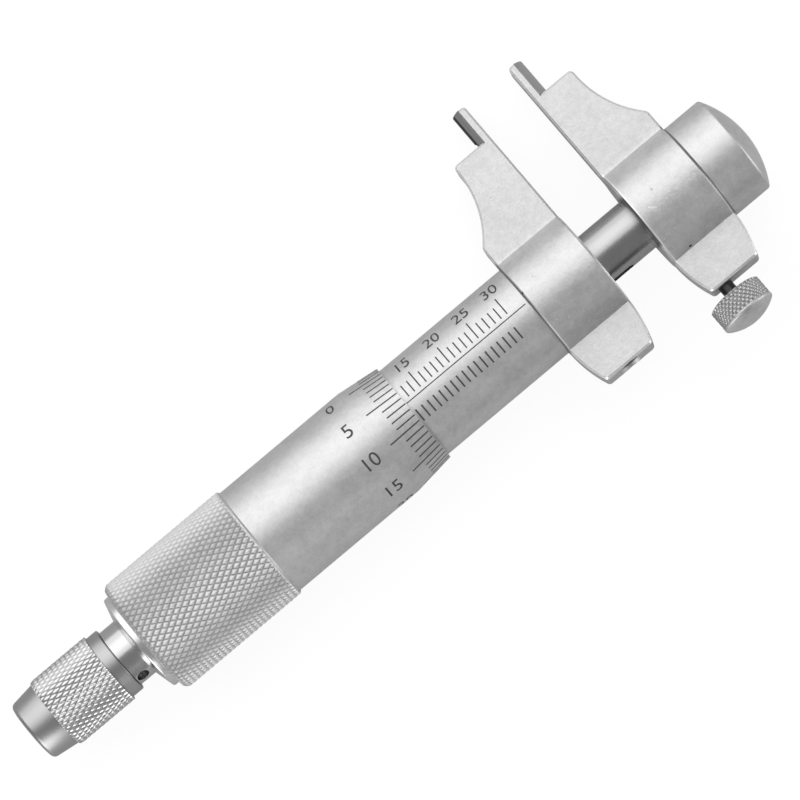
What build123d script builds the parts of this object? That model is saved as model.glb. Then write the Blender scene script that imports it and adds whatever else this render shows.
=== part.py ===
from build123d import *

import math
import os

# Inside micrometer for 5 to 30 mm, lying on its back as it comes to rest.
# It is modelled along X with the spindle's axis on the X axis, the head at +X, the jaws
# towards +Y and the flat fronts of the jaws towards +Z. The inner face of the near jaw is
# on x = 0. All lengths are millimetres, all angles degrees. At the end the whole is rolled
# about X, so that the jaws' tips hang, and set on z = 0 about the middle of its footprint.

# Pose and reading
roll = 12.5
reading = 12.07
reading_low = 5.0
reading_high = 30.0

# Running and seating fits, each a radial or end gap
sliding_gap = 0.03
thimble_gap = 0.1
seat_gap = 0.01
end_float = 0.02

# Blocks, turned round the spindle's axis, with a flat jaw and lug across them
block_radius = 7.87
block_width = 10.6
block_edge = 0.3
jaw_thickness = 4.2
jaw_edge = 0.28
jaw_reach = 27.5
shoulder_reach = 21.9
shoulder_width = 6.5
shoulder_corner = 0.7
flank_straight = 0.9
flank_radius = 15.0
flank_foot_radius = 1.2
lug_reach = 14.0
lug_straight = 7.0
lug_flank_radius = 18.0
lug_corner = 0.6

# Jaw tips with their rounded measuring inserts
tip_width = 2.2
tip_face_radius = 2.45
tip_corner = 0.5
tip_relief_depth = 0.2
tip_relief_height = 1.0

# Guide tube and the screw that keeps it from turning
guide_radius = 3.9
guide_engagement = 1.8
keyway_width = 1.6
keyway_floor = 2.95
keyway_margin = 1.8
key_hole_radius = 1.5
key_screw_sink = 2.5
key_screw_end = 4.6
key_dog_radius = 0.75
countersink_radius = 1.9
countersink_depth = 0.4

# Sleeve, inner sleeve and the slit nut at its end
sleeve_radius = 7.215
sleeve_wall = 1.0
sleeve_cover = 5.75
spanner_hole_radius = 0.6
spanner_hole_depth = 0.7
spanner_hole_setback = 2.2
bare_sleeve = 3.15
spigot_radius = 5.5
spigot_length = 3.4
inner_bore_radius = 4.2
nut_radius = 5.2
nut_length = 10.0
nut_neck_length = 6.0
nut_slit_width = 0.5
nut_slit_length = 5.0
nut_slit_count = 3
adjusting_nut_radius = 6.5
adjusting_nut_length = 3.2
adjusting_nut_setback = 1.0
adjusting_notch_count = 4
adjusting_notch_width = 1.0
adjusting_notch_depth = 0.6

# Spindle and what holds it in the carriage
thread_radius = 3.45
stem_radius = 2.5
spindle_end_radius = 1.98
spindle_end_length = 3.8
washer_radius = 4.6
washer_thickness = 0.8
spindle_nut_radius = 4.4
spindle_nut_thickness = 2.5
spindle_nut_slot = 0.9
seat_cone_length = 6.3
seat_cone_radius = 2.9

# End cap
cap_radius = 7.515
cap_length = 5.93
cap_dome = 2.17
cap_dome_flat = 0.6
cap_edge = 0.3
cap_spigot_radius = 6.0
cap_spigot_length = 1.9
cap_recess_depth = 2.2
cap_wall = 0.9
cap_cavity_depth = 2.8

# Thimble
thimble_front_radius = 7.665
thimble_bevel = 6.2
thimble_radius = 8.43
thimble_bore_depth = 38.0
grip_setback = 27.05
grip_length = 20.05
grip_radius = 8.83
grip_front_step = 0.3
grip_rear_bevel = 1.0
flange_radius = 7.42
flange_root_radius = 4.6
flange_length = 1.6
flange_cone = 0.75
thimble_hole_radius = 2.2

# Ratchet stop
neck_radius = 4.43
neck_length = 2.5
neck_shank_radius = 1.73
neck_shank_length = 8.4
tommy_hole_radius = 0.9
tommy_hole_depth = 2.0
tommy_hole_setback = 1.15
tommy_hole_angle = 68.2
knob_gap = 0.1
knob_collar_radius = 5.0
knob_collar_length = 1.8
knob_radius = 5.38
knob_grip_length = 9.6
knob_grip_edge = 0.35
knob_tail_length = 3.9
knob_tail_radius = 5.0
knob_rear_radius = 4.5
knob_collar_edge = 0.2
knob_rear_bevel = 0.7
knob_bore_radius = 4.0
knob_web_front = 8.6
knob_web_thickness = 4.0
hub_radius = 2.4
tooth_ring_radius = 3.7
tooth_ring_bore = 2.6
tooth_ring_rim = 0.1
tooth_ring_thickness = 1.0
tooth_count = 12
tooth_height = 0.5
tooth_mesh_gap = 0.03
tooth_side_gap = 0.3
click_ring_thickness = 2.0
click_ring_bore = 2.7
click_key_width = 1.2
click_key_radius = 4.5
click_key_gap = 0.06
spring_wire = 0.5
spring_coil_radius = 3.15
spring_turns = 3.0
screw_head_radius = 2.8
screw_head_thickness = 1.8
screw_recess_radius = 3.1
screw_shank_radius = 1.25
screw_shank_length = 7.0
screw_slot_width = 0.6
screw_slot_depth = 0.7

# Lock screw and its pad
lock_offset = 1.93
lock_stem_radius = 1.05
lock_neck_length = 1.75
lock_knob_radius = 3.99
lock_knob_length = 3.3
lock_knob_edge = 0.4
lock_dome = 1.3
lock_dome_flat = 0.5
lock_pad_length = 1.9
lock_pad_gap = 0.15

# Places along X that several pieces share
jaw_gap = reading - 2 * tip_width
travel_left = reading_high - reading
travel_back = reading - reading_low
thimble_edge = -block_width - bare_sleeve - travel_left
sleeve_end = -block_width - bare_sleeve - (reading_high - reading_low) - sleeve_cover
thimble_rear = thimble_edge - grip_setback - grip_length - flange_length
thimble_web = thimble_edge - thimble_bore_depth
nut_rear = sleeve_end - nut_neck_length
nut_front = nut_rear + nut_length
far_side = jaw_gap + block_width
tube_front = far_side - cap_recess_depth
tube_rear = -block_width - guide_engagement - travel_left
neck_rear = thimble_rear - neck_length
knob_front = neck_rear - knob_gap
knob_rear = knob_front - knob_collar_length - knob_grip_length - knob_tail_length
web_front = knob_front - knob_web_front
web_rear = web_front - knob_web_thickness
tooth_root = neck_rear - tooth_ring_thickness
click_rear = tooth_root - tooth_height - tooth_mesh_gap - click_ring_thickness
lock_x = jaw_gap + block_width / 2 - lock_offset

# Measuring inserts are segments of a round bar, cut off by the flat of the jaw's post
tip_centre = tip_width - tip_face_radius
post_width = tip_centre + math.sqrt(tip_face_radius**2 - (jaw_thickness / 2) ** 2)


def crown_radius(rim, height, flat):
    """Radius of a dome about a centre on the axis, from its rim to a small flat on its top."""
    centre = (height**2 + flat**2 - rim**2) / (2 * height)
    return math.hypot(centre, rim)


cap_crown = crown_radius(cap_radius, cap_dome, cap_dome_flat)
lock_crown = crown_radius(lock_knob_radius, lock_dome, lock_dome_flat)


def turned(points, axis=Axis.X):
    """A solid of revolution from the corners of its half section."""
    return revolve(make_face(Polyline(*points, close=True)), axis)


def ring(low, high, outer, inner=0.0):
    """A round bar or tube on the X axis between two places."""
    return turned([(low, inner), (high, inner), (high, outer), (low, outer)])


def cross_pin(x, low, high, radius):
    """A round pin across the axis, parallel to Y, between two heights."""
    upright = Rot(-90, 0, 0) * Cylinder(radius, high - low, align=(Align.CENTER, Align.CENTER, Align.MIN))
    return Pos(x, low, 0) * upright


def rounded_at(face, corners):
    """The face with the corners nearest to the given points rounded, as (point, radius)."""
    for point, radius in corners:
        face = fillet(face.vertices().sort_by_distance(Vector(*point))[0], radius)
    return face


def bevelled_at(face, point, length):
    """The face with the corner nearest to the given point cut off."""
    return chamfer(face.vertices().sort_by_distance(Vector(*point))[0], length)


def jaw_plate():
    """Jaw, middle and lug of one block as a plate, with the inner face on x = 0."""
    flank_top = shoulder_reach - flank_straight
    flank_centre = -shoulder_width - flank_radius
    foot_turn = math.acos((flank_centre + block_width) / -flank_radius)
    flank_foot = flank_top - flank_radius * math.sin(foot_turn)
    flank_middle = (
        flank_centre + flank_radius * math.cos(foot_turn / 2),
        flank_top - flank_radius * math.sin(foot_turn / 2),
    )
    lug_turn = math.asin((lug_reach - lug_straight) / lug_flank_radius)
    lug_inset = lug_flank_radius * (1 - math.cos(lug_turn))
    lug_half_inset = lug_flank_radius * (1 - math.cos(lug_turn / 2))
    lug_middle = -lug_straight - lug_flank_radius * math.sin(lug_turn / 2)
    outline = (
        Line((0, jaw_reach), (0, -lug_straight))
        + ThreePointArc((0, -lug_straight), (-lug_half_inset, lug_middle), (-lug_inset, -lug_reach))
        + Line((-lug_inset, -lug_reach), (-block_width + lug_inset, -lug_reach))
        + ThreePointArc(
            (-block_width + lug_inset, -lug_reach),
            (-block_width + lug_half_inset, lug_middle),
            (-block_width, -lug_straight),
        )
        + Line((-block_width, -lug_straight), (-block_width, flank_foot))
        + ThreePointArc((-block_width, flank_foot), flank_middle, (-shoulder_width, flank_top))
        + Polyline(
            (-shoulder_width, flank_top),
            (-shoulder_width, shoulder_reach),
            (-post_width, shoulder_reach),
            (-post_width, jaw_reach),
            (0, jaw_reach),
        )
    )
    face = rounded_at(
        make_face(outline),
        [
            ((0, jaw_reach), tip_corner),
            ((-shoulder_width, shoulder_reach), shoulder_corner),
            ((-block_width, flank_foot), flank_foot_radius),
            ((-lug_inset, -lug_reach), lug_corner),
            ((-block_width + lug_inset, -lug_reach), lug_corner),
        ],
    )
    plate = extrude(face, jaw_thickness / 2, both=True)
    rims = [
        edge
        for edge in plate.edges()
        if abs(abs(edge.center().Z) - jaw_thickness / 2) < 0.001
        and not (edge.center().Y > shoulder_reach - 0.001 and edge.center().X < -tip_corner)
    ]
    return chamfer(rims, jaw_edge)


def block():
    """One block with its jaw and lug, before its holes, inner face on x = 0."""
    middle = turned(
        [
            (-block_width, 0),
            (0, 0),
            (0, block_radius - block_edge),
            (-block_edge, block_radius),
            (-block_width + block_edge, block_radius),
            (-block_width, block_radius - block_edge),
        ]
    )
    return middle + jaw_plate()


def measuring_tip(relief):
    """The insert on the outside of a near jaw's tip, rounded to fit a small bore."""
    bar = Rot(-90, 0, 0) * Cylinder(
        tip_face_radius, jaw_reach - shoulder_reach, align=(Align.CENTER, Align.CENTER, Align.MIN)
    )
    bar = Pos(-tip_centre, shoulder_reach, 0) * bar
    keep = Pos(-post_width, 0, 0) * Box(
        tip_width, 2 * jaw_reach, jaw_thickness, align=(Align.MAX, Align.CENTER, Align.CENTER)
    )
    insert = bar & keep
    if relief:
        insert -= Pos(-tip_width, shoulder_reach, 0) * Box(
            2 * tip_relief_depth, 2 * tip_relief_height, jaw_thickness
        )
    return insert


def to_far_side(near):
    """A near-jaw shape mirrored to the far jaw."""
    return Pos(jaw_gap, 0, 0) * mirror(near, about=Plane.YZ)


def near_jaw_block():
    """Near block: guide bore, seat for the inner sleeve and the key screw's hole."""
    solid = block()
    solid -= ring(-block_width, 0, guide_radius + sliding_gap)
    solid -= ring(-block_width, -block_width + spigot_length, spigot_radius + seat_gap)
    solid -= cross_pin(-block_width / 2, -lug_reach, 0, key_hole_radius)
    mouth = turned(
        [
            (0, -lug_reach),
            (countersink_radius, -lug_reach),
            (key_hole_radius, -lug_reach + countersink_depth),
            (0, -lug_reach + countersink_depth),
        ],
        Axis.Y,
    )
    return solid - Pos(-block_width / 2, 0, 0) * mouth


def far_jaw_block():
    """Far block: seat for the guide tube, recess for the cap and the lock screw's hole."""
    solid = to_far_side(block())
    solid -= ring(jaw_gap, far_side, guide_radius + seat_gap)
    solid -= ring(tube_front, far_side, cap_spigot_radius + seat_gap)
    return solid - cross_pin(lock_x, -lug_reach, 0, lock_stem_radius + sliding_gap)


def guide_key_screw():
    """Grub screw with a dog point in the keyway and a slot in its outer end."""
    outer = -lug_reach + key_screw_sink
    screw = cross_pin(0, outer, -key_screw_end, key_hole_radius - seat_gap)
    screw += cross_pin(0, outer, -keyway_floor - sliding_gap, key_dog_radius)
    screw -= Pos(0, outer, 0) * Box(2 * key_hole_radius, 2 * screw_slot_depth, screw_slot_width)
    return Pos(-block_width / 2, 0, 0) * screw


def guide_tube():
    """Tube fixed in the far block, with its keyway and the lock pad's hole."""
    tube = ring(tube_rear, tube_front, guide_radius, stem_radius + sliding_gap)
    key_low = -block_width / 2 - travel_left - keyway_margin
    key_high = -block_width / 2 + travel_back + keyway_margin
    floor = Pos((key_low + key_high) / 2, -keyway_floor, 0)
    slot = SlotOverall(key_high - key_low, keyway_width)
    tube -= floor * Rot(90, 0, 0) * extrude(slot, guide_radius)
    return tube - cross_pin(lock_x, -2 * guide_radius, 0, lock_stem_radius + sliding_gap)


def sleeve():
    """Graduated sleeve against the near block, with a hook spanner's hole in its back."""
    tube = ring(sleeve_end, -block_width, sleeve_radius, sleeve_radius - sleeve_wall)
    hole = Pos(-block_width - spanner_hole_setback, 0, -sleeve_radius) * Cylinder(
        spanner_hole_radius, 2 * spanner_hole_depth
    )
    return tube - hole


def inner_sleeve():
    """Inner sleeve: spigot in the block, body under the sleeve, slit nut at the rear."""
    body_radius = sleeve_radius - sleeve_wall - seat_gap
    bore = thread_radius + sliding_gap
    tube = turned(
        [
            (nut_rear, bore),
            (nut_front, bore),
            (nut_front, inner_bore_radius),
            (-block_width + spigot_length, inner_bore_radius),
            (-block_width + spigot_length, spigot_radius),
            (-block_width, spigot_radius),
            (-block_width, body_radius),
            (sleeve_end, body_radius),
            (sleeve_end, nut_radius),
            (nut_rear, nut_radius),
        ]
    )
    slit = Pos(nut_rear, 0, 0) * Box(
        2 * nut_slit_length, nut_slit_width, nut_radius, align=(Align.CENTER, Align.CENTER, Align.MIN)
    )
    for turn in range(nut_slit_count):
        tube -= Rot(turn * 360 / nut_slit_count, 0, 0) * slit
    return tube


def adjusting_nut():
    """Ring round the slit nut, with notches in its rear face."""
    low = nut_rear + adjusting_nut_setback
    nut = ring(low, low + adjusting_nut_length, adjusting_nut_radius, nut_radius + seat_gap)
    notch = Pos(low, 0, adjusting_nut_radius) * Box(
        2 * adjusting_notch_depth, adjusting_notch_width, adjusting_nut_radius
    )
    for turn in range(adjusting_notch_count):
        nut -= Rot(turn * 360 / adjusting_notch_count, 0, 0) * notch
    return nut


def spindle():
    """Spindle: seat cone, thread, stem through the guide tube and the end for its nut."""
    shoulder = tube_rear - end_float
    front = tube_front + end_float
    bar = turned(
        [
            (thimble_web - seat_cone_length, 0),
            (front + spindle_end_length, 0),
            (front + spindle_end_length, spindle_end_radius),
            (front, spindle_end_radius),
            (front, stem_radius),
            (shoulder, stem_radius),
            (shoulder, thread_radius),
            (thimble_web, thread_radius),
            (thimble_web - seat_cone_length, seat_cone_radius),
        ]
    )
    hole_end = thimble_rear + neck_shank_length + end_float
    return bar - ring(thimble_web - seat_cone_length, hole_end, neck_shank_radius + seat_gap)


def thrust_washer():
    """Washer on the spindle's shoulder, against the guide tube's front end."""
    low = tube_front + end_float
    return ring(low, low + washer_thickness, washer_radius, spindle_end_radius + seat_gap)


def spindle_nut():
    """Round nut that clamps the washer, with a slot across its face."""
    low = tube_front + end_float + washer_thickness
    high = low + spindle_nut_thickness
    nut = ring(low, high, spindle_nut_radius, spindle_end_radius + seat_gap)
    return nut - Pos(high, 0, 0) * Box(spindle_nut_slot, 2 * spindle_nut_radius, spindle_nut_slot)


def end_cap():
    """Cap with a shallow dome, its spigot in the far block, hollow over the nut."""
    cylinder_end = far_side + cap_length
    apex = cylinder_end + cap_dome
    outline = (
        Polyline(
            (apex, cap_dome_flat),
            (apex, 0),
            (far_side, 0),
            (far_side, cap_radius - cap_edge),
            (far_side + cap_edge, cap_radius),
            (cylinder_end, cap_radius),
        )
        + RadiusArc((cylinder_end, cap_radius), (apex, cap_dome_flat), cap_crown)
    )
    cap = revolve(bevelled_at(make_face(outline), (cylinder_end, cap_radius), cap_edge), Axis.X)
    cap += ring(far_side - cap_spigot_length, far_side, cap_spigot_radius)
    cavity_end = far_side + cap_cavity_depth
    return cap - ring(far_side - cap_spigot_length, cavity_end, cap_spigot_radius - cap_wall)


def thimble():
    """Thimble: bevelled edge, smooth barrel, grip, rear flange, bore and cone seat."""
    grip_front = thimble_edge - grip_setback
    grip_rear = grip_front - grip_length
    barrel = turned(
        [
            (thimble_edge, 0),
            (thimble_edge, thimble_front_radius),
            (thimble_edge - thimble_bevel, thimble_radius),
            (grip_front, thimble_radius),
            (grip_front - grip_front_step, grip_radius),
            (grip_rear + grip_rear_bevel, grip_radius),
            (grip_rear, grip_radius - grip_rear_bevel),
            (grip_rear, flange_radius),
            (thimble_rear + flange_cone, flange_radius),
            (thimble_rear, flange_root_radius),
            (thimble_rear, 0),
        ]
    )
    cone_rear = thimble_web - seat_cone_length
    cone_slope = (thread_radius - seat_cone_radius) / seat_cone_length
    bore = ring(thimble_web, thimble_edge, sleeve_radius + thimble_gap)
    bore += turned(
        [
            (cone_rear - end_float, 0),
            (thimble_web, 0),
            (thimble_web, thread_radius + seat_gap),
            (cone_rear - end_float, seat_cone_radius + seat_gap - cone_slope * end_float),
        ]
    )
    bore += ring(thimble_rear, cone_rear, thimble_hole_radius)
    return barrel - bore


def polar(x, radius, angle):
    """The point at a place along X, a radius and an angle that starts at +Y."""
    turn = math.radians(angle)
    return (x, radius * math.cos(turn), radius * math.sin(turn))


def tooth_wedge(section):
    """One face tooth from its section, given as (share of the pitch, x) corners."""
    pitch = 360 / tooth_count
    ends = [
        Wire.make_polygon([Vector(*polar(x, radius, share * pitch)) for share, x in section], close=True)
        for radius in (tooth_ring_bore, tooth_ring_radius)
    ]
    return Solid.make_loft(ends, ruled=True)


def around(solid, count):
    """Copies of a solid, evenly turned about X."""
    return [Rot(turn * 360 / count, 0, 0) * solid for turn in range(count)]


def ratchet_stem():
    """Neck with its tommy hole, shank into the spindle, face teeth and hub."""
    tip = tooth_root - tooth_height
    root = tooth_root + tooth_ring_thickness / 2
    wedge = tooth_wedge([(0, root), (1, root), (1, tooth_root), (0, tip)])
    stem = ring(neck_rear, thimble_rear, neck_radius)
    stem += ring(thimble_rear, thimble_rear + neck_shank_length, neck_shank_radius)
    stem += ring(tooth_root, neck_rear, tooth_ring_radius + tooth_ring_rim)
    stem += around(wedge, tooth_count)
    stem += ring(web_rear - end_float, tooth_root, hub_radius)
    hole = Pos(knob_front + tommy_hole_setback, 0, neck_radius) * Cylinder(
        tommy_hole_radius, 2 * tommy_hole_depth
    )
    stem -= Rot(tommy_hole_angle, 0, 0) * hole
    return stem - ring(web_rear - end_float, web_rear + screw_shank_length, screw_shank_radius + seat_gap)


def click_ring():
    """Ring whose teeth mesh with the stem's, with two keys that slide in the knob."""
    face = tooth_root - tooth_height - tooth_mesh_gap
    root = face - click_ring_thickness / 2
    wedge = tooth_wedge([(0, face), (1, face + tooth_height), (1, root), (0, root)])
    body = ring(click_rear, face, tooth_ring_radius + tooth_ring_rim)
    body += around(Rot(-tooth_side_gap, 0, 0) * wedge, tooth_count)
    key = Pos(click_rear, 0, 0) * Box(
        click_ring_thickness,
        click_key_width,
        click_key_radius,
        align=(Align.MIN, Align.CENTER, Align.MIN),
    )
    body += [key, Rot(180, 0, 0) * key]
    return body - ring(click_rear, face + tooth_height, click_ring_bore)


def ratchet_spring():
    """Coil spring of square wire between the click ring and the knob's web."""
    length = click_rear - web_front - spring_wire - 2 * sliding_gap
    path = Helix(pitch=length / spring_turns, height=length, radius=spring_coil_radius)
    wire = Plane(origin=path @ 0, x_dir=(1, 0, 0), z_dir=path % 0) * Rectangle(spring_wire, spring_wire)
    coil = sweep(wire, path=path, is_frenet=True)
    return Pos(web_front + sliding_gap + spring_wire / 2, 0, 0) * Rot(0, 90, 0) * coil


def ratchet_knob():
    """Knob: collar, grip and tail outside; bore, two keyways, web and recess inside."""
    grip_front = knob_front - knob_collar_length
    grip_rear = grip_front - knob_grip_length
    outline = Polyline(
        (knob_rear, 0),
        (knob_front, 0),
        (knob_front, knob_collar_radius - knob_collar_edge),
        (knob_front - knob_collar_edge, knob_collar_radius),
        (grip_front, knob_collar_radius),
        (grip_front - knob_grip_edge, knob_radius),
        (grip_rear + knob_grip_edge, knob_radius),
        (grip_rear, knob_tail_radius),
        (knob_rear, knob_rear_radius),
        close=True,
    )
    face = bevelled_at(make_face(outline), (knob_rear, knob_rear_radius), knob_rear_bevel)
    knob = revolve(face, Axis.X)
    knob -= ring(web_front, knob_front, knob_bore_radius)
    knob -= ring(web_rear, web_front, hub_radius + sliding_gap)
    knob -= ring(knob_rear, web_rear, screw_recess_radius)
    keyway = Pos(web_front, 0, 0) * Box(
        knob_web_front,
        click_key_width + 2 * click_key_gap,
        2 * (click_key_radius + click_key_gap),
        align=(Align.MIN, Align.CENTER, Align.CENTER),
    )
    return knob - keyway


def ratchet_screw():
    """Screw in the end of the stem's hub, its slotted head in the knob's recess."""
    seat = web_rear - end_float
    screw = ring(seat - screw_head_thickness, seat, screw_head_radius)
    screw += ring(seat, seat + screw_shank_length - end_float, screw_shank_radius)
    slot = Box(2 * screw_slot_depth, 2 * screw_head_radius, screw_slot_width)
    return screw - Pos(seat - screw_head_thickness, 0, 0) * slot


def lock_screw():
    """Lock screw: stem down the far lug, and a knob with a domed end."""
    knob_top = -lug_reach - lock_neck_length
    knob_foot = knob_top - lock_knob_length
    apex = knob_foot - lock_dome
    outline = (
        Polyline(
            (lock_dome_flat, apex),
            (0, apex),
            (0, knob_top),
            (lock_knob_radius - lock_knob_edge, knob_top),
            (lock_knob_radius, knob_top - lock_knob_edge),
            (lock_knob_radius, knob_foot),
        )
        + RadiusArc((lock_knob_radius, knob_foot), (lock_dome_flat, apex), lock_crown)
    )
    knob = revolve(make_face(outline), Axis.Y)
    pad_rear = -stem_radius - lock_pad_gap - lock_pad_length - end_float
    return Pos(lock_x, 0, 0) * (knob + cross_pin(0, knob_top, pad_rear, lock_stem_radius))


def lock_pad():
    """Brass plug between the lock screw and the spindle's stem."""
    tip = -stem_radius - lock_pad_gap
    return cross_pin(lock_x, tip - lock_pad_length, tip, lock_stem_radius)


pieces = {
    "near_jaw_block": near_jaw_block(),
    "near_measuring_tip": measuring_tip(relief=True),
    "far_jaw_block": far_jaw_block(),
    "far_measuring_tip": to_far_side(measuring_tip(relief=False)),
    "guide_key_screw": guide_key_screw(),
    "guide_tube": guide_tube(),
    "sleeve": sleeve(),
    "inner_sleeve": inner_sleeve(),
    "adjusting_nut": adjusting_nut(),
    "spindle": spindle(),
    "thrust_washer": thrust_washer(),
    "spindle_nut": spindle_nut(),
    "end_cap": end_cap(),
    "thimble": thimble(),
    "ratchet_stem": ratchet_stem(),
    "ratchet_screw": ratchet_screw(),
    "ratchet_knob": ratchet_knob(),
    "click_ring": click_ring(),
    "ratchet_spring": ratchet_spring(),
    "lock_screw": lock_screw(),
    "lock_pad": lock_pad(),
}

# Roll the whole about the spindle's axis and stand it on the middle of its footprint
rolled = {name: Rot(-roll, 0, 0) * piece for name, piece in pieces.items()}
boxes = [piece.bounding_box() for piece in rolled.values()]
low, high = boxes[0].min, boxes[0].max
for box in boxes:
    low = Vector(min(low.X, box.min.X), min(low.Y, box.min.Y), min(low.Z, box.min.Z))
    high = Vector(max(high.X, box.max.X), max(high.Y, box.max.Y), max(high.Z, box.max.Z))
origin = Pos(-(low.X + high.X) / 2, -(low.Y + high.Y) / 2, -low.Z)
placed = {name: origin * piece for name, piece in rolled.items()}

os.makedirs("parts", exist_ok=True)
for name, piece in placed.items():
    export_step(piece, f"parts/{name}.step")

print("spindle axis through", origin.position, "overall", high - low)
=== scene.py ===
# %% [markdown]
# # An inside micrometer, dressed in Blender
#
# The solids of this micrometer come from a CAD program. They have the right sizes, and they
# move on their joints. This lesson gives them what a solid modeller leaves out: diamond
# knurls, engraved marks and numerals, small roundings, satin chrome, polished steel and the
# light of a product photograph. Each step first says what the thing is and then makes it.

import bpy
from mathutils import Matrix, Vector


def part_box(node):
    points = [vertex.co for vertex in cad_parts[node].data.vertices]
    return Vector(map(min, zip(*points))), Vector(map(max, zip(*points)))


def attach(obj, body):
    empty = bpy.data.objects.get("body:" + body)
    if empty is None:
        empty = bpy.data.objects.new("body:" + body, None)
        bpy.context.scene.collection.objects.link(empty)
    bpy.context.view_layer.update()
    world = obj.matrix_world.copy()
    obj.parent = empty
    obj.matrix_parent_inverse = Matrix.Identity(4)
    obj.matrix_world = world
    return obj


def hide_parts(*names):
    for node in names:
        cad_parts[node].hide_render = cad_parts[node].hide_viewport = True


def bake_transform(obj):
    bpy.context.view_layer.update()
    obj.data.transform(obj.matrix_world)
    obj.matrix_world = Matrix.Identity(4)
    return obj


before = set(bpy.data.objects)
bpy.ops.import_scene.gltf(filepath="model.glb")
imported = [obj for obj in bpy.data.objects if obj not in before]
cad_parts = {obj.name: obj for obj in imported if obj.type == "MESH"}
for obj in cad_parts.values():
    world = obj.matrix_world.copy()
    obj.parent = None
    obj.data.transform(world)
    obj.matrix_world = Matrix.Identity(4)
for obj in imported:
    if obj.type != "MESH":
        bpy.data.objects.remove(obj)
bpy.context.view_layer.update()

# %% [markdown]
# ## Two ways to say where something is
#
# Along the micrometer it is easiest to work from its own spindle: x runs along the spindle
# with zero at the inner face of the near jaw, y points the way the jaws point and z stands
# square on their flats. The finished object lies rolled back by 12.5 degrees: it stands on
# its knurled grip, which is its thickest part, and the jaws lean down until their tips are
# just above the table. One matrix takes a piece from the first place to the second, and it
# is applied to the mesh itself, so every object stays at the origin.

# %% The micrometer's own axes and where they lie
import math

import bpy
from mathutils import Matrix, Vector

MM = 0.001
ROLL = math.radians(-12.5)
JAW_FACE = Vector((35.955, -3.629, 8.83)) * MM
LAY_DOWN = Matrix.Translation(JAW_FACE) @ Matrix.Rotation(ROLL, 4, "X")
THIMBLE_REAR = -80.38

low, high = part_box("thimble")
print("thimble in the frame, mm:", [round(v / MM, 2) for v in (*low, *high)])
print("its rear face should be at", round(JAW_FACE.x / MM + THIMBLE_REAR, 2))

# %% [markdown]
# ## The camera
#
# The photograph looks straight down on the micrometer, which lies turned 40 degrees in the
# picture. A long lens far away keeps the perspective as flat as it is there. The camera is
# placed over the point that is in the middle of the photograph.

# %% Place the camera
PICTURE_MIDDLE = Vector((3.955, -1.149)) * MM
SLEEVE_TOP = 15.98 * MM
DISTANCE = 775 * MM
SENSOR_WIDTH = 36
LENS = 263
PICTURE_TURN = math.radians(-40)

camera_data = bpy.data.cameras.new("camera")
camera_data.sensor_width = SENSOR_WIDTH
camera_data.lens = LENS
camera = bpy.data.objects.new("camera", camera_data)
camera.location = (PICTURE_MIDDLE.x, PICTURE_MIDDLE.y, SLEEVE_TOP + DISTANCE)
camera.rotation_euler = (0, 0, PICTURE_TURN)
bpy.context.scene.collection.objects.link(camera)
bpy.context.scene.camera = camera
print("field at the sleeve, mm:", round(SENSOR_WIDTH / LENS * DISTANCE / MM, 1))

# %% [markdown]
# ## Shader maths that reads like maths
#
# A material that varies over its surface is a small calculation. Blender draws it as boxes
# and lines, and a long one is easier to read as an expression. `Signal` wraps the socket
# that carries a number, so `0.3 + 0.2 * grain` adds the Math nodes by itself. `Finish`
# starts a material and has one method that makes any node: its settings come first, then
# what goes into its sockets.

# %% A signal and a finish
class Signal:
    """A socket that can be used in a sum."""

    def __init__(self, finish, socket):
        self.finish, self.socket = finish, socket

    def maths(self, operation, first, second):
        return self.finish.node("Math", {"operation": operation}, {0: first, 1: second})

    def __add__(self, other):
        return self.maths("ADD", self, other)

    def __sub__(self, other):
        return self.maths("SUBTRACT", self, other)

    def __rsub__(self, other):
        return self.maths("SUBTRACT", other, self)

    def __mul__(self, other):
        return self.maths("MULTIPLY", self, other)

    __radd__ = __add__
    __rmul__ = __mul__

    def slope(self, start, end):
        """0 on one side of start and 1 on the other side of end, with a soft slope between."""
        return self.finish.node("MapRange", {"interpolation_type": "SMOOTHSTEP"},
                                {"Value": self, "From Min": start, "From Max": end})


class Finish:
    """A material in the making."""

    def __init__(self, name):
        self.material = bpy.data.materials.new(name)
        self.material.use_nodes = True
        self.tree = self.material.node_tree
        self.tree.nodes.clear()

    def node(self, kind, settings, sockets, output=0):
        """Makes a node and gives back one of its outputs."""
        made = self.tree.nodes.new("ShaderNode" + kind)
        for name, value in settings.items():
            setattr(made, name, value)
        for name, value in sockets.items():
            if isinstance(value, Signal):
                self.tree.links.new(value.socket, made.inputs[name])
            else:
                made.inputs[name].default_value = value
        return Signal(self, made.outputs[output]) if len(made.outputs) else made

    def spot(self):
        """Where a point is on the object, in millimetres."""
        place = self.node("TexCoord", {}, {}, output="Object")
        return self.node("VectorMath", {"operation": "SCALE"}, {0: place, "Scale": 1 / MM})

    def noise(self, spot, scale, detail=2.0):
        return self.node("TexNoise", {}, {"Vector": spot, "Scale": scale, "Detail": detail})

    def distance(self, spot, point):
        return self.node("VectorMath", {"operation": "DISTANCE"}, {0: spot, 1: point}, output="Value")

    def color(self, share, first, second):
        return self.node("Mix", {"data_type": "RGBA"}, {0: share, 6: first, 7: second}, output=2)

    def shader(self, **sockets):
        """Ends the material with one Principled shader."""
        named = {name.replace("_", " "): value for name, value in sockets.items()}
        shader = self.node("BsdfPrincipled", {}, named)
        self.node("OutputMaterial", {}, {"Surface": shader})
        return self.material

    def relief(self, height, depth):
        """Turns a height from 0 to 1 into a bump of that depth in millimetres."""
        return self.node("Bump", {}, {"Height": height, "Distance": depth * MM})


def grey(value):
    return (value, value, value, 1)


print("signal and finish ready")

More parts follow.
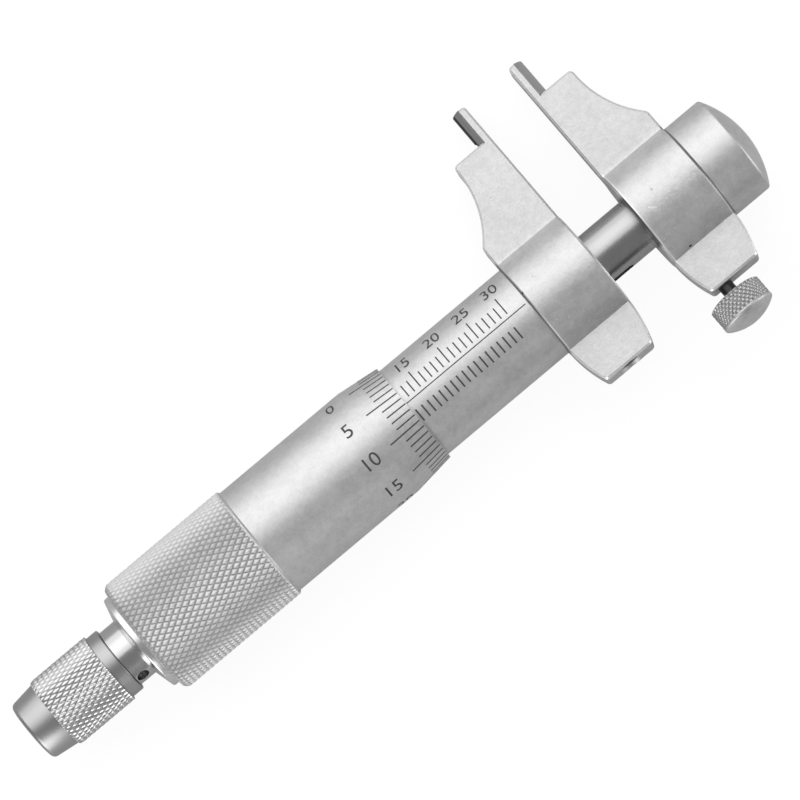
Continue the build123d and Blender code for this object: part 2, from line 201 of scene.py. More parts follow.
# %% [markdown]
# ## Satin chrome
#
# Measuring tools are blasted with fine glass beads and then chromed, so their cylinders
# show one broad soft highlight instead of a mirror image. The base colour of a metal is
# what it reflects, and the roughness spreads it. Noises break the evenness: a grain of three
# tenths of a millimetre and finer from the beads, the orange peel of the casting under it,
# and large faint clouds where hands have polished the chrome. The two blocks are castings,
# so their peel is deeper. Dirt and wear dull the thimble's grip, so its finish is the least
# metallic of them.

# %% Satin chrome
def satin_chrome(name, tone, roughness, metallic=0.84, peel_depth=0.012, wear=None):
    """Blasted chrome; the worn marks and painted light, if given, say how dull it is, where it has
    stains or painted shade, and where it is worn bright or painted with highlights.
    """
    finish = Finish(name)
    spot = finish.spot()
    clouds = finish.noise(spot, 0.25, 3.0)
    peel = finish.noise(spot, 1.1, 4.0)
    grain = finish.noise(spot, 3.2, 3.0)
    shade = 0.25 * clouds.slope(0.3, 0.7) + 0.35 * peel.slope(0.3, 0.7) + 0.4 * grain.slope(0.25, 0.75)
    dull, stains_and_painted_shade, rubbed_and_painted_bright = wear(finish, spot) if wear else (0.0, None, None)
    pits = grain.slope(0.74, 0.80) + dull
    color = finish.color((shade - 0.5 * pits).slope(-1.0, 1.4), grey(tone * 0.72), grey(tone * 1.14))
    # Pale where worn bright or painted with highlights and glints, near black where there are stains or
    # painted shade.
    if wear:
        color = finish.color(rubbed_and_painted_bright, color, grey(0.92))
        color = finish.color(stains_and_painted_shade, color, grey(0.05))
    return finish.shader(
        Base_Color=color,
        Metallic=metallic,
        Roughness=roughness - 0.03 + 0.06 * shade,
        Normal=finish.relief(0.4 * peel + 0.6 * grain - 0.3 * pits, peel_depth),
    )


def dirty_grooves(root, tip, share):
    """For a knurl about the spindle: painted shade in the grooves below the tops of its pads, and tops
    worn and painted pale as highlights.
    """
    def wear(finish, spot):
        section = finish.node("VectorMath", {"operation": "MULTIPLY"}, {0: spot, 1: (0, 1, 1)})
        height = finish.distance(section, SPINDLE)
        # Painted shade darkens the grooves; the tops are worn and painted pale as a highlight.
        return 0.0, share * (1.0 - height.slope(root, tip)), 0.3 * height.slope(tip - 0.06, tip)
    return wear


SPINDLE = (0, JAW_FACE.y / MM, JAW_FACE.z / MM)
chrome = satin_chrome("satin_chrome", tone=0.62, roughness=0.46)
# The grooves of both knurls are painted darker as shade, and the tops of their pads paler as
# highlights.
grip_chrome = satin_chrome("grip_chrome", tone=0.56, roughness=0.46, metallic=0.46,
                           wear=dirty_grooves(root=8.54, tip=8.72, share=0.22))
bright_knurl = satin_chrome("bright_knurl", tone=0.55, roughness=0.32, metallic=0.9,
                            wear=dirty_grooves(root=5.14, tip=5.30, share=0.25))
lock_knurled = satin_chrome("lock_knurled", tone=0.44, roughness=0.36, metallic=0.8)
print("satin chrome ready")

# %% [markdown]
# ## Wear and painted light on the blocks
#
# Use leaves its traces on the two blocks. Their flats are a little duller than their round
# middles. The rims of the round middles and the chamfers of the jaws are worn bright and
# painted paler still as edge highlights. A painted shadow lies beside the rims where the
# sleeve and the end cap meet the blocks, and beside the rod where it meets the far block.
# Small sparks are painted as glints on the shaded side of the round middles, and there are a
# few dents: a black pit, a pale scratch and some specks. Each of them is placed by its
# distance in millimetres from a point, a line along the spindle or a plane, so it stays where
# it is on the metal.

# %% Dull flats, edges worn and painted bright, painted shadows and glints, and dents
FLAT_WAY = (0, -math.sin(ROLL), math.cos(ROLL))
JAW_HALF_THICKNESS = 2.1
FLAT_LEVEL = JAW_HALF_THICKNESS + Vector(SPINDLE).dot(Vector(FLAT_WAY))
PITS = [((46.76, -10.28, 13.04), 0.50, 1.0), ((25.46, -0.68, 16.13), 0.50, 0.7),
        ((47.46, -1.18, 16.31), 0.28, 0.5), ((27.96, 0.12, 15.75), 0.24, 0.4),
        ((28.16, -0.23, 15.83), 0.22, 0.4)]
SCRATCHES = [((45.61, -2.78, 16.65), (46.36, -3.40, 16.70), 0.24, 0.6),
             ((28.02, -0.55, 15.90), (28.10, -0.50, 15.90), 0.20, 0.5)]
# Rims worn bright and painted pale as edge highlights.
RIMS = [(43.86, 44.12, 1.0), (35.74, 35.99, 0.9), (25.52, 25.74, 0.5), (53.84, 54.02, 0.5)]
# Painted shadow beside the rims where the sleeve and the end cap meet the blocks.
SHADED_RIMS = [(25.30, 25.54), (54.00, 54.30)]
ROUND_TO_FLAT = (7.7, 8.5)
SHADE_TO_LIGHT = (-6.5, -4.0)
# Painted shadow beside the rod where it meets the far block.
ROD_SHADOW_ALONG = (43.5, 43.88)
ROD_SHADOW_ACROSS = (-8.2, 0.9)


def between(signal, start, end, soft=0.06):
    """1 between two values, with soft sides."""
    return signal.slope(start, start + soft) * (1.0 - signal.slope(end - soft, end))


def block_wear(finish, spot):
    """How dull the blocks are, where they have stains or painted shadow, and where they are worn bright
    or painted with highlights and glints.
    """
    along = finish.node("SeparateXYZ", {}, {"Vector": spot}, output="X")
    across = finish.node("SeparateXYZ", {}, {"Vector": spot}, output="Y")
    height = finish.node("VectorMath", {"operation": "DOT_PRODUCT"}, {0: spot, 1: FLAT_WAY},
                         output="Value")
    section = finish.node("VectorMath", {"operation": "MULTIPLY"}, {0: spot, 1: (0, 1, 1)})
    flats = finish.distance(section, SPINDLE).slope(*ROUND_TO_FLAT)
    # Painted glints: pale specks on the shaded side of the round middles.
    shaded_side = (1.0 - flats) * (1.0 - across.slope(*SHADE_TO_LIGHT))
    rubbed_and_painted_bright = 0.45 * shaded_side * finish.noise(spot, 2.3, 2.0).slope(0.64, 0.71)
    # The jaws' chamfers: worn bright and painted pale as edge highlights.
    rubbed_and_painted_bright = rubbed_and_painted_bright + 0.95 * flats * between(height, FLAT_LEVEL - 0.31, FLAT_LEVEL - 0.01, 0.03)
    # The rims of the round middles: worn bright and painted pale as edge highlights.
    for start, end, share in RIMS:
        rubbed_and_painted_bright = rubbed_and_painted_bright + share * between(along, start, end) * (1.0 - flats)
    for start, end, size, share in SCRATCHES:
        for step in range(5):
            place = Vector(start).lerp(Vector(end), step / 4)
            rubbed_and_painted_bright = rubbed_and_painted_bright + share * (1.0 - finish.distance(spot, place).slope(0.3 * size, 0.6 * size))
    # Painted shadow beside the rod where it meets the far block.
    stains_and_painted_shade = 0.85 * between(along, *ROD_SHADOW_ALONG) * between(across, *ROD_SHADOW_ACROSS, 0.8)
    # Painted shadow beside the rims where the sleeve and the end cap meet the blocks.
    for start, end in SHADED_RIMS:
        stains_and_painted_shade = stains_and_painted_shade + 0.6 * between(along, start, end) * (1.0 - flats)
    for place, size, share in PITS:
        stains_and_painted_shade = stains_and_painted_shade + share * (1.0 - finish.distance(spot, place).slope(0.35 * size, 0.6 * size))
    return 0.8 * flats, stains_and_painted_shade, rubbed_and_painted_bright


block_chrome = satin_chrome("block_chrome", tone=0.62, roughness=0.45, peel_depth=0.05,
                            wear=block_wear)
print("blocks worn")

# %% [markdown]
# ## Polished steel, dark steel and hard metal
#
# The rod between the blocks and the neck of the ratchet are ground and polished, which
# leaves fine lines round them. The lines come from a noise that is stretched: its position
# changes fast along the rod and hardly at all around it. The ratchet's knob and the
# thimble's rear flange are turned bright and not blasted, so they get the same kind of
# finish. The lock screw's neck is coloured near black, and the tips are sintered hard metal
# with a dull grey face. The near one's rounded side, which touches the work, is finished by
# lapping, and its colour is painted nearly black as a reflection of the dark room.

# %% The other metals
def ground_steel(name, tone, roughness, lines=0.06, painted_dark_band=None):
    """Ground or polished steel; the dark band, if given, is a band of x in mm over which the colour is
    painted nearly black, a painted reflection of a dark room.
    """
    finish = Finish(name)
    spot = finish.spot()
    along = finish.node("VectorMath", {"operation": "MULTIPLY"}, {0: spot, 1: (9.0, 0.15, 0.15)})
    turned_lines = finish.noise(along, 1.0, 3.0)
    clouds = finish.noise(spot, 0.5, 3.0)
    shade = finish.color(clouds, grey(tone * 0.95), grey(tone * 1.04))
    # Painted reflection: the colour turns nearly black over the band.
    if painted_dark_band:
        across = finish.node("SeparateXYZ", {}, {"Vector": spot}, output="X")
        shade = finish.color(across.slope(*painted_dark_band), grey(tone * 0.12), shade)
    return finish.shader(
        Base_Color=shade,
        Metallic=1.0,
        Roughness=roughness + lines * (turned_lines - 0.5) + 0.05 * clouds,
        Normal=finish.relief(turned_lines, 0.01 * lines),
    )


polished = ground_steel("polished_steel", tone=0.45, roughness=0.25, lines=0.03)
neck_steel = ground_steel("bright_steel", tone=0.56, roughness=0.20)
turned_chrome = ground_steel("turned_chrome", tone=0.42, roughness=0.34)
flange_chrome = ground_steel("flange_chrome", tone=0.75, roughness=0.24)
inner_steel = ground_steel("turned_steel", tone=0.50, roughness=0.32)
dark_steel = ground_steel("dark_steel", tone=0.05, roughness=0.35)
hard_metal = ground_steel("hard_metal", tone=0.54, roughness=0.42)
# The near tip's rounded side is painted nearly black as a reflection of the dark room.
tip_painted_dark = ground_steel("hard_metal_painted_dark", tone=0.40, roughness=0.42, painted_dark_band=(33.98, 34.16))
spring_wire = ground_steel("spring_wire", tone=0.42, roughness=0.25)
brass_finish = Finish("brass")
brass_clouds = brass_finish.noise(brass_finish.spot(), 0.8)
brass = brass_finish.shader(
    Base_Color=brass_finish.color(brass_clouds, (0.60, 0.41, 0.15, 1), (0.72, 0.52, 0.22, 1)),
    Metallic=1.0,
    Roughness=0.28 + 0.15 * brass_clouds,
)
print("other metals ready")

# %% [markdown]
# ## Black filling
#
# The engraved lines and numerals are filled with matt black paint. It is not perfectly
# even, so a fine noise lightens it here and there.

# %% Black filling
ink_finish = Finish("black_filling")
ink_flecks = ink_finish.noise(ink_finish.spot(), 5.0)
black_filling = ink_finish.shader(
    Base_Color=ink_finish.color(ink_flecks, grey(0.035), grey(0.07)),
    Roughness=0.55 + 0.2 * ink_flecks,
)
print("black filling ready")

# %% [markdown]
# ## Turning on the lathe
#
# Most of the pieces made here are turned. A lathe turns a section about an axis, and
# Blender's spin operator does the same. The section is drawn as a chain of extruded points,
# each point with its place along the axis, its radius and, if the edge is broken, a
# rounding. The roundings are vertex bevels on the chain, made before the spin, so they cost
# one operator for a whole edge. The weighted normals keep the long faces flat beside the
# small rounded ones.

# %% Draw a section and spin it
CORNER_SEGMENTS = 4
MERGE_DISTANCE = 0.0005
SHARP_ANGLE = math.radians(40)


def start_editing(piece):
    bpy.ops.object.select_all(action="DESELECT")
    piece.select_set(True)
    bpy.context.view_layer.objects.active = piece
    bpy.ops.object.mode_set(mode="EDIT")
    bpy.ops.mesh.select_mode(type="VERT")


def stop_editing():
    bpy.ops.object.mode_set(mode="OBJECT")
    return bpy.context.view_layer.objects.active


def pick(piece, wanted):
    """In edit mode, selects the points for which wanted(place in mm) is true."""
    bpy.ops.mesh.select_all(action="DESELECT")
    bpy.ops.object.mode_set(mode="OBJECT")
    for point in piece.data.vertices:
        point.select = bool(wanted(point.co / MM))
    bpy.ops.object.mode_set(mode="EDIT")


def round_corners(piece, outline):
    """Bevels each corner of the drawn section that has a rounding."""
    for x, radius, rounding in [corner for corner in outline if len(corner) == 3]:
        corner = Vector((x, radius, 0))
        pick(piece, lambda place: (place - corner).length < 0.001)
        bpy.ops.mesh.bevel(offset=rounding * MM, segments=CORNER_SEGMENTS, affect="VERTICES")


def turned(name, outline, steps=128):
    """Turns a section, given as (x, radius) or (x, radius, rounding), about the spindle."""
    bpy.ops.object.select_all(action="DESELECT")
    bpy.ops.mesh.primitive_plane_add(size=MM)
    piece = bpy.context.object
    piece.name = piece.data.name = name
    start_editing(piece)
    bpy.ops.mesh.merge(type="CENTER")
    chain = [Vector((corner[0], corner[1], 0)) * MM for corner in outline]
    bpy.ops.transform.translate(value=chain[0])
    for here, there in zip(chain, chain[1:]):
        bpy.ops.mesh.extrude_vertices_move(TRANSFORM_OT_translate={"value": there - here})
    round_corners(piece, outline)
    bpy.ops.mesh.select_all(action="SELECT")
    bpy.ops.mesh.spin(steps=steps, angle=math.tau, center=(0, 0, 0), axis=(1, 0, 0))
    bpy.ops.mesh.select_all(action="SELECT")
    bpy.ops.mesh.remove_doubles(threshold=MERGE_DISTANCE * MM)
    bpy.ops.mesh.normals_make_consistent(inside=False)
    return stop_editing()


def smooth(piece):
    """Smooth shading that leaves sharp corners and the flats between roundings alone."""
    bpy.ops.object.select_all(action="DESELECT")
    piece.select_set(True)
    bpy.context.view_layer.objects.active = piece
    bpy.ops.object.shade_smooth_by_angle(angle=SHARP_ANGLE)
    weighted = piece.modifiers.new("weighted", "WEIGHTED_NORMAL")
    weighted.keep_sharp = True
    bpy.ops.object.modifier_apply(modifier=weighted.name)
    return piece


def made_of(piece, *materials):
    piece.data.materials.clear()
    for material in materials:
        piece.data.materials.append(material)
    return piece


def finished(piece, body, slot, *nodes):
    """Lays a piece down in the frame, hangs it on its body and hides the CAD nodes that it stands for;
    slot is not used.
    """
    piece.data.transform(LAY_DOWN)
    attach(piece, body)
    if nodes:
        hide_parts(*nodes)
    print(piece.name, "faces:", len(piece.data.polygons))
    return piece


print("lathe ready")

# %% [markdown]
# ## The end cap
#
# A screwed cap closes the head. Its end is a shallow dome, drawn as an arc of points, and a
# thin skirt behind it goes into the block. The section comes back along the hollow, so the
# wall has its thickness.

# %% Turn the end cap
def arc(centre_x, radius, start, end, count):
    """Points on an arc about a centre on the axis, by angle from the axis."""
    angles = [math.radians(start + (end - start) * step / count) for step in range(count + 1)]
    return [(centre_x + radius * math.cos(angle), radius * math.sin(angle)) for angle in angles]


CAP_CROWN = 14.1
CAP_FRONT = 26.37
CAP_REAR = 18.27
CAP_RADIUS = 7.515
SKIRT_END = 16.37
SKIRT_RADIUS = 6.0
HOLLOW_END = 21.07
HOLLOW_RADIUS = 5.1

dome_edge = math.degrees(math.asin(CAP_RADIUS / CAP_CROWN))
dome = arc(CAP_FRONT - CAP_CROWN, CAP_CROWN, 0, dome_edge, 14)
cap_section = [
    (CAP_FRONT, 0), *dome[1:-1], (*dome[-1], 0.25), (CAP_REAR, CAP_RADIUS, 0.2),
    (CAP_REAR, SKIRT_RADIUS), (SKIRT_END, SKIRT_RADIUS), (SKIRT_END, HOLLOW_RADIUS),
    (HOLLOW_END, HOLLOW_RADIUS), (HOLLOW_END, 0),
]
end_cap = made_of(smooth(turned("end_cap_turned", cap_section)), chrome)
finished(end_cap, "carriage", "satin_chrome", "end_cap")

# %% [markdown]
# ## The sleeve
#
# The sleeve is a plain tube with the main scale. A hook spanner's hole in its back lets the
# user turn it to zero. A hole across a tube is what the Boolean modifier is for: a small
# cylinder is made where the hole goes, taken away and then deleted.

# %% Turn the sleeve and drill it
def cut_away(piece, cutter):
    """Takes the cutter's shape out of a piece and deletes the cutter."""
    cut = piece.modifiers.new("cut", "BOOLEAN")
    cut.operation, cut.object, cut.solver = "DIFFERENCE", cutter, "EXACT"
    bpy.context.view_layer.objects.active = piece
    bpy.ops.object.modifier_apply(modifier=cut.name)
    bpy.data.objects.remove(cutter)


SLEEVE_RADIUS = 7.215
SLEEVE_WALL = 1.0
SLEEVE_ENDS = (-44.5, -10.6)
SPANNER_HOLE_PLACE = -12.8
SPANNER_HOLE_RADIUS = 0.6
SPANNER_HOLE_DEPTH = 1.4

sleeve_section = [(SLEEVE_ENDS[0], SLEEVE_RADIUS, 0.15), (SLEEVE_ENDS[1], SLEEVE_RADIUS, 0.12),
                  (SLEEVE_ENDS[1], SLEEVE_RADIUS - SLEEVE_WALL),
                  (SLEEVE_ENDS[0], SLEEVE_RADIUS - SLEEVE_WALL), (SLEEVE_ENDS[0], SLEEVE_RADIUS, 0.15)]
sleeve = turned("sleeve_turned", sleeve_section)
bpy.ops.object.select_all(action="DESELECT")
bpy.ops.mesh.primitive_cylinder_add(vertices=32, radius=SPANNER_HOLE_RADIUS * MM,
                                    depth=SPANNER_HOLE_DEPTH * MM,
                                    location=(SPANNER_HOLE_PLACE * MM, 0, -SLEEVE_RADIUS * MM))
cut_away(sleeve, bpy.context.object)
made_of(smooth(sleeve), chrome)
finished(sleeve, "frame_body", "satin_chrome", "sleeve")

# %% [markdown]
# ## The diamond knurl
#
# A knurling wheel presses two sets of slanting grooves that cross, and what stays between
# them are small pads. On a grid of points that is a chessboard with four steps to a pad:
# points on the grooves stay down, the middle of each pad is lifted all the way, and the
# points round it nearly three quarters of the way, which gives the worn, rounded tops. The
# faces have to be cut along the grooves, and the operator cuts a face along its shorter
# diagonal. So one half of the flank points is lifted before the cut and the other half
# after it. At the rear the rings come down in an arc, and the pads run over the rounded
# corner.

# %% Press a knurl
PAD_EDGE = 0.72
PAD_STEPS = 4
END_SLOPE = 0.15
PAD_SHARP_ANGLE = math.radians(32)


def knurled(name, ends, pitch, around, root, tip, seat, corner=(0.0, 0.0)):
    """A knurled band, closed down to a seat radius; corner rounds its rear by (length, depth)."""
    length = ends[1] - ends[0]
    rows = PAD_STEPS * round(length / pitch)
    bpy.ops.object.select_all(action="DESELECT")
    bpy.ops.mesh.primitive_cylinder_add(vertices=PAD_STEPS * around, radius=root * MM,
                                        depth=length * MM, end_fill_type="NOTHING",
                                        location=(sum(ends) / 2 * MM, 0, 0),
                                        rotation=(0, math.pi / 2, 0))
    piece = bpy.context.object
    piece.name = piece.data.name = name
    bpy.ops.object.transform_apply(location=True, rotation=True, scale=True)
    start_editing(piece)
    bpy.ops.mesh.select_mode(type="EDGE")
    bpy.ops.mesh.select_all(action="DESELECT")
    bpy.ops.object.mode_set(mode="OBJECT")
    for edge in piece.data.edges:
        first, last = (piece.data.vertices[index].co for index in edge.vertices)
        edge.select = abs(first.x - last.x) > 0.5 * length * MM
    bpy.ops.object.mode_set(mode="EDIT")
    bpy.ops.mesh.subdivide(number_cuts=rows - 1)
    bpy.ops.mesh.select_mode(type="VERT")

    def grid(place):
        """The ring and the column of a point."""
        turn = math.atan2(place.y, place.z) / math.tau * PAD_STEPS * around
        return round((place.x - ends[0]) / length * rows), round(turn)

    def is_middle(place):
        ring, column = grid(place)
        return (ring + column) % PAD_STEPS == 0 and (ring - column) % PAD_STEPS == 0

    def is_flank(place, odd):
        ring, column = grid(place)
        return (ring + column) % 2 == 1 and ring % 2 == odd

    def lift(wanted, share):
        pick(piece, wanted)
        scale = 1 + share * (tip - root) / root
        bpy.ops.transform.resize(value=(1, scale, scale), center_override=(0, 0, 0))

    lift(is_middle, 1)
    lift(lambda place: is_flank(place, 1), PAD_EDGE)
    bpy.ops.mesh.select_all(action="SELECT")
    bpy.ops.mesh.quads_convert_to_tris(quad_method="SHORTEST_DIAGONAL")
    lift(lambda place: is_flank(place, 0), PAD_EDGE)
    for ring in range(math.ceil(corner[0] * rows / length)):
        share = 1 - ring * length / rows / corner[0]
        drop = corner[1] * (1 - math.sqrt(1 - share ** 2))
        pick(piece, lambda place: grid(place)[0] == ring)
        scale = 1 - drop / root
        bpy.ops.transform.resize(value=(1, scale, scale), center_override=(0, 0, 0))
    for end, outward in ((ends[0], -1), (ends[1], 1)):
        pick(piece, lambda place: abs(place.x - end) < 0.01)
        bpy.ops.mesh.extrude_edges_move()
        bpy.ops.transform.resize(value=(1, seat / root, seat / root), center_override=(0, 0, 0))
        bpy.ops.transform.translate(value=(outward * END_SLOPE * MM, 0, 0))
    bpy.ops.mesh.select_all(action="SELECT")
    bpy.ops.mesh.normals_make_consistent(inside=False)
    stop_editing()
    bpy.ops.object.shade_smooth_by_angle(angle=PAD_SHARP_ANGLE)
    return piece


def joined(first, *others):
    bpy.ops.object.select_all(action="DESELECT")
    for piece in (first, *others):
        piece.select_set(True)
    bpy.context.view_layer.objects.active = first
    bpy.ops.object.join()
    return first


print("knurling wheel ready")

# %% [markdown]
# ## The thimble
#
# The thimble is the piece that the fingers turn: a bevelled front edge with fifty marks, a
# smooth barrel, a thin raised ring, a knurled grip and a small flange at the rear. The
# barrel is turned with its bore and the cone seat for the spindle, and the knurled band is
# a second mesh on it.

# %% Turn the thimble and knurl its grip
EDGE = -31.68
BEVEL = 6.2
GRIP = (-78.7, -58.8)
BARREL_RADIUS = 8.43
FRONT_RADIUS = 7.665
BORE_RADIUS = 7.315
FLANGE_RADIUS = 7.42
FLANGE_STARTS = -78.8

thimble_section = [
    (EDGE, FRONT_RADIUS, 0.06), (EDGE - BEVEL, BARREL_RADIUS, 0.3), (-58.45, BARREL_RADIUS),
    (-58.7, 8.72, 0.1), (-58.95, 8.72, 0.1), (-59.2, BARREL_RADIUS), (-78.78, BARREL_RADIUS, 1.0),
    (-78.78, FLANGE_RADIUS), (THIMBLE_REAR + 0.75, FLANGE_RADIUS, 0.2), (THIMBLE_REAR, 4.6),
    (THIMBLE_REAR, 2.2), (-75.98, 2.2), (-75.98, 3.0), (-69.68, 3.5), (-69.68, BORE_RADIUS),
    (EDGE, BORE_RADIUS), (EDGE, FRONT_RADIUS, 0.06),
]
barrel = made_of(smooth(turned("thimble_turned", thimble_section)), chrome, flange_chrome)
for face in barrel.data.polygons:
    face.material_index = 1 if face.center.x / MM < FLANGE_STARTS else 0
grip_knurl = knurled("grip_knurl", GRIP, pitch=1.49, around=60, root=8.56, tip=8.83, seat=7.4,
                     corner=(1.0, 0.55))
grip = made_of(grip_knurl, grip_chrome)
thimble = joined(barrel, grip)
finished(thimble, "thimble_body", "satin_chrome", "thimble")

# %% [markdown]
# ## The ratchet knob
#
# The knob at the very end slips when the measuring force is reached. It has a smooth
# collar, a knurl whose pads are a little narrower than the grip's and a smooth tail that
# narrows. Inside, a toothed ring slides to and fro and must not turn in it, so one flat box
# cuts two keyways into the bore, for the two keys of that ring.

# %% Turn and knurl the ratchet knob
knob_section = [
    (-82.98, 4.0), (-82.98, 5.0, 0.2), (-94.38, 5.0), (-98.28, 4.5, 0.6), (-98.28, 3.1),
    (-95.58, 3.1), (-95.58, 2.43), (-91.58, 2.43), (-91.58, 4.0), (-82.98, 4.0),
]
KEYWAY_ENDS = (-91.57, -82.5)
KEYWAY_WIDTH = 1.32
KEYWAY_RADIUS = 4.56
KEYWAY_BOX = (KEYWAY_ENDS[1] - KEYWAY_ENDS[0], KEYWAY_WIDTH, 2 * KEYWAY_RADIUS)

knob = turned("ratchet_knob_turned", knob_section)
bpy.ops.object.select_all(action="DESELECT")
bpy.ops.mesh.primitive_cube_add(size=MM, location=(sum(KEYWAY_ENDS) / 2 * MM, 0, 0),
                                scale=KEYWAY_BOX)
cut_away(knob, bpy.context.object)
made_of(smooth(knob), turned_chrome)
knob_knurl = knurled("ratchet_knurl", (-94.3, -84.85), pitch=1.5, around=40, root=5.18, tip=5.38,
                     seat=4.6, corner=(0.4, 0.15))
knob = joined(knob, made_of(knob_knurl, bright_knurl))
finished(knob, "ratchet_body", "satin_chrome", "ratchet_knob")

# %% [markdown]
# ## The ratchet's spring
#
# Inside the knob a spring presses a toothed ring forward. Each time the ratchet slips, the
# teeth push that ring back by about half a millimetre and the spring is squeezed, so it
# can't follow the knob or the ring alone. It is wound with the Screw modifier, which turns
# and lifts a circle at once.

# %% Wind the spring
SPRING = (-91.55, -86.44)
WIRE = 0.5
COIL_RADIUS = 3.15
COILS = 3

bpy.ops.object.select_all(action="DESELECT")
bpy.ops.mesh.primitive_circle_add(vertices=12, radius=WIRE / 2 * MM, location=(COIL_RADIUS * MM, 0, 0),
                                  rotation=(math.pi / 2, 0, 0))
spring = bpy.context.object
spring.name = spring.data.name = "ratchet_spring_coil"
bpy.ops.object.transform_apply(location=True, rotation=True, scale=True)
winding = spring.modifiers.new("winding", "SCREW")
winding.iterations, winding.steps, winding.render_steps = COILS, 32, 32
winding.screw_offset = (SPRING[1] - SPRING[0] - WIRE) / COILS * MM
bpy.ops.object.modifier_apply(modifier=winding.name)
start_editing(spring)
bpy.ops.mesh.select_all(action="SELECT")
bpy.ops.mesh.fill_holes(sides=0)
bpy.ops.mesh.normals_make_consistent(inside=False)
stop_editing()
bpy.ops.object.shade_smooth_by_angle(angle=SHARP_ANGLE)
to_rear_end = Matrix.Translation(((SPRING[0] + WIRE / 2) * MM, 0, 0))
spring.data.transform(LAY_DOWN @ to_rear_end @ Matrix.Rotation(math.pi / 2, 4, "Y"))
made_of(spring, spring_wire)
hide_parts("ratchet_spring")
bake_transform(spring)
print("spring faces:", len(spring.data.polygons))

# %% [markdown]
# ## The lock screw
#
# The lock screw stands across the spindle, so it is turned along x like the others and then
# swung round to its own place: its x, counted from the spindle, becomes minus y.

# %% Turn, knurl and swing the lock screw
KNOB_TOP = 15.75
LOCK_CROWN = 6.77
LOCK_APEX = 20.35
LOCK_RADIUS = 3.99
LOCK_CORE_RADIUS = 3.75
LOCK_STEM_RADIUS = 1.05
LOCK_STEM_ZONE = 1.1
LOCK_AXIS = 11.04

lock_edge = math.degrees(math.asin(LOCK_RADIUS / LOCK_CROWN))
lock_dome = arc(LOCK_APEX - LOCK_CROWN, LOCK_CROWN, 0, lock_edge, 12)
lock_section = [
    (LOCK_APEX, 0), *lock_dome[1:-1], (*lock_dome[-1], 0.15), (18.75, LOCK_RADIUS),
    (18.75, LOCK_CORE_RADIUS), (KNOB_TOP + 0.3, LOCK_CORE_RADIUS), (KNOB_TOP + 0.3, 3.9),
    (KNOB_TOP, 3.6, 0.1), (KNOB_TOP, LOCK_STEM_RADIUS), (4.6, LOCK_STEM_RADIUS), (4.6, 0),
]
lock = made_of(smooth(turned("lock_screw_turned", lock_section, steps=96)), chrome, dark_steel)
# The stem's faces are coloured near black.
for face in lock.data.polygons:
    middle = face.center / MM
    on_stem = math.hypot(middle.y, middle.z) < LOCK_STEM_ZONE and middle.x < KNOB_TOP + 0.01
    face.material_index = 1 if on_stem else 0
lock_knurl = knurled("lock_knurl", (KNOB_TOP + 0.2, 19.0), pitch=0.8, around=30, root=3.8,
                     tip=LOCK_RADIUS, seat=3.5)
lock = joined(lock, made_of(lock_knurl, lock_knurled))
lock_place = Matrix.Translation((LOCK_AXIS * MM, 0, 0)) @ Matrix.Rotation(-math.pi / 2, 4, "Z")
lock.data.transform(lock_place)
finished(lock, "lock_body", "satin_chrome", "lock_screw")

# %% [markdown]
# ## Marks and numerals
#
# The scale on the sleeve has a line for each millimetre on one side of the long datum line
# and one for each half millimetre on the other. The thimble has fifty lines for hundredths
# of a millimetre. They could be an image or a pattern in the shader, but thin pieces of
# geometry stay sharp from any distance and survive an export. They are drawn flat, with x
# along the spindle and y as the distance round the surface, and then rolled onto it.

# %% Draw flat artwork and roll it on
PROUD = 0.012
SUNK = 0.03
BEND_STEP = 0.5
NUMERAL_BANDS = 10


def line(x, start, end, width):
    """One engraved line across the axis, in short lengths so that it can bend."""
    bpy.ops.object.select_all(action="DESELECT")
    lengths = max(1, round(abs(end - start) / BEND_STEP))
    bpy.ops.mesh.primitive_grid_add(x_subdivisions=1, y_subdivisions=lengths, size=MM)
    piece = bpy.context.object
    start_editing(piece)
    bpy.ops.transform.resize(value=(width, abs(end - start), 1))
    bpy.ops.transform.translate(value=(x * MM, (start + end) / 2 * MM, -SUNK * MM))
    bpy.ops.mesh.extrude_region_move(TRANSFORM_OT_translate={"value": (0, 0, (SUNK + PROUD) * MM)})
    bpy.ops.mesh.select_all(action="SELECT")
    bpy.ops.mesh.normals_make_consistent(inside=False)
    return stop_editing()


def numeral(figures, x, middle, height, width):
    """A number drawn flat, its tops towards +y, and made a mesh."""
    bpy.ops.object.select_all(action="DESELECT")
    bpy.ops.object.text_add()
    words = bpy.context.object
    words.data.body = figures
    words.data.align_x, words.data.align_y = "CENTER", "CENTER"
    words.data.size = MM
    words.data.resolution_u = 4
    words.data.extrude = 0.5 * (SUNK + PROUD) * MM
    bpy.ops.object.convert(target="MESH")
    piece = bpy.context.object
    spread = [max(p.co[i] for p in piece.data.vertices) - min(p.co[i] for p in piece.data.vertices)
              for i in (0, 1)]
    centre = [max(p.co[i] for p in piece.data.vertices) + min(p.co[i] for p in piece.data.vertices)
              for i in (0, 1)]
    start_editing(piece)
    bpy.ops.mesh.select_all(action="SELECT")
    bpy.ops.transform.translate(value=(-centre[0] / 2, -centre[1] / 2, 0))
    bpy.ops.transform.resize(value=(width * MM / spread[0], height * MM / spread[1], 1),
                             center_override=(0, 0, 0))
    for cut in range(1, NUMERAL_BANDS):
        bpy.ops.mesh.select_all(action="SELECT")
        bpy.ops.mesh.bisect(plane_co=(0, height * (cut / NUMERAL_BANDS - 0.5) * MM, 0),
                            plane_no=(0, 1, 0))
    bpy.ops.mesh.select_all(action="SELECT")
    bpy.ops.transform.translate(value=(x * MM, middle * MM, 0.5 * (PROUD - SUNK) * MM))
    return stop_editing()


